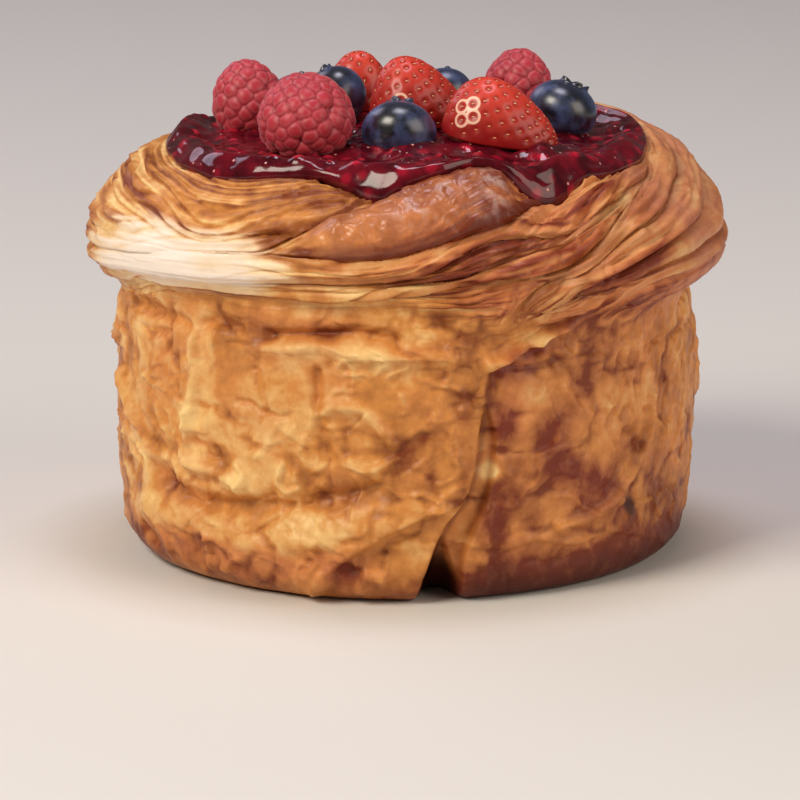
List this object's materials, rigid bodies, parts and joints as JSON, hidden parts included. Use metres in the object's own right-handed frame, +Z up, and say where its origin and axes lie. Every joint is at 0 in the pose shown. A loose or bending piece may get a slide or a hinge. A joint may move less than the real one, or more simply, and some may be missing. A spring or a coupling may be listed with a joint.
{
  "type": "berry cream cheese roll",
  "caption": "Tall coiled laminated pastry roll with a glossy berry compote in its crown, topped with fresh raspberries, blueberries and strawberry halves.",
  "frame": {"origin": "on the surface the roll stands on, under the middle of its outline", "axes": "+Z up, -Y towards the front, which has the open seam of the wall, +X to the right seen from the front"},
  "size_m": [0.1117, 0.108, 0.085],
  "materials": {
    "pastry": "baked golden crust",
    "compote": "wet and glossy",
    "raspberry": "soft sheen",
    "blueberry": "waxy bloom",
    "strawberry": "moist skin"
  },
  "bodies": {
    "root": {"pastry": "pastry", "compote": "compote", "raspberry_front": "raspberry", "raspberry_left": "raspberry", "raspberry_right": "raspberry", "blueberry_front": "blueberry", "blueberry_left": "blueberry", "blueberry_right": "blueberry", "blueberry_behind": "blueberry", "blueberry_between": "blueberry", "strawberry_middle": "strawberry", "strawberry_front": "strawberry", "strawberry_back": "strawberry"}
  },
  "joints": []
}
